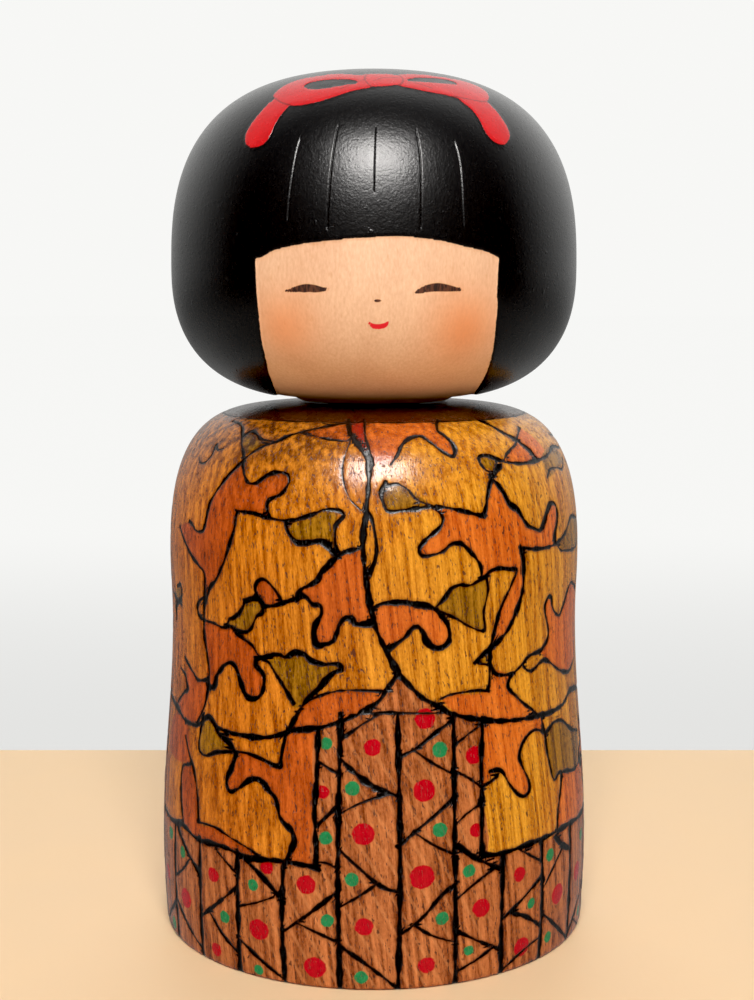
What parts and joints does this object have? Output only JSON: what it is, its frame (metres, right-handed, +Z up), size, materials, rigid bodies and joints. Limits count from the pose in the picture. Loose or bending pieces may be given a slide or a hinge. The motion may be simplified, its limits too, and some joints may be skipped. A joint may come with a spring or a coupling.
{
  "type": "kokeshi doll",
  "caption": "Turned wooden doll with a bobbed black head that turns on a peg in a round-shouldered body with a burnt and stained kimono pattern.",
  "frame": {"origin": "centre of the flat base, on the surface that the doll stands on", "axes": "+Z up along the lathe axis; the face looks along -Y; +X is on the viewer's right"},
  "size_m": [0.0772, 0.0772, 0.151],
  "materials": {
    "body_wood": "zelkova with strong vertical grain, burnt line pattern, stained in gold, orange, olive and brown, clear satin varnish",
    "head_wood": "pale dogwood face under a thin matt coat, hair in satin black lacquer, bow and features in paint",
    "peg_wood": "bare beech dowel"
  },
  "bodies": {
    "torso": {"body": "body_wood"},
    "head": {"head": "head_wood", "neck_peg": "peg_wood"}
  },
  "joints": [
    {"name": "head_turn", "type": "hinge", "parent": "torso", "child": "head", "pos_m": [0, 0, 0.0942], "axis": [0, 0, 1], "continuous": true}
  ]
}
